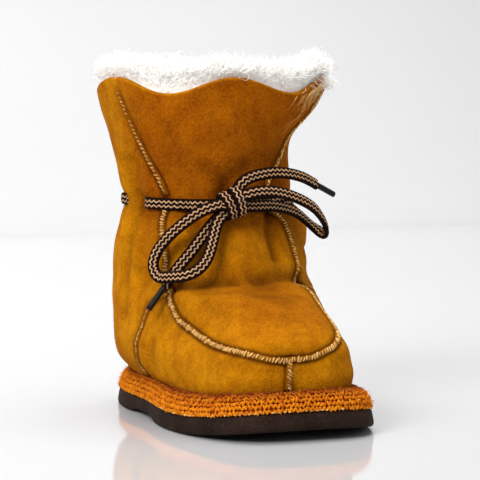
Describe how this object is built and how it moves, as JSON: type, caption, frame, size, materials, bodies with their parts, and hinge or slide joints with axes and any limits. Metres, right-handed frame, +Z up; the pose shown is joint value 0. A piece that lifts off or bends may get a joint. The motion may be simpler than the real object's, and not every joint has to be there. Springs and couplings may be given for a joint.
{
  "type": "baby sheepskin lace boot",
  "caption": "Low sheepskin boot for a baby's left foot: suede upper with raised seams, scalloped wool collar, ankle lace with a bow, knitted welt band and flat rubber sole.",
  "frame": {"origin": "on the floor under the middle of the boot's bounding box, laces' free parts left out", "axes": "the toe points to -Y, the wearer's left (the outer side) is +X and +Z is up"},
  "size_m": [0.0846, 0.134, 0.1303],
  "materials": {
    "suede": "brushed suede",
    "knit": "chunky knit",
    "rubber": "matt",
    "wool": "sheep's wool",
    "thread": "sewn edge",
    "lace": "flat braid",
    "lace_tip": "smooth"
  },
  "bodies": {
    "root": {"outsole": "rubber", "knit_band": "knit", "insole": "wool", "upper": "suede", "wool_collar": "wool", "seam_shaft_inner": "thread", "seam_shaft_outer": "thread", "seam_apron": "thread", "seam_toe": "thread", "seam_side_inner": "thread", "seam_side_outer": "thread", "lace_front": "lace", "lace_side_inner": "lace", "lace_side_outer": "lace", "lace_knot": "lace", "lace_loop_inner": "lace", "lace_loop_outer": "lace", "lace_end_inner": "lace", "lace_end_outer": "lace", "lace_tip_inner": "lace_tip", "lace_tip_outer": "lace_tip"}
  },
  "joints": []
}
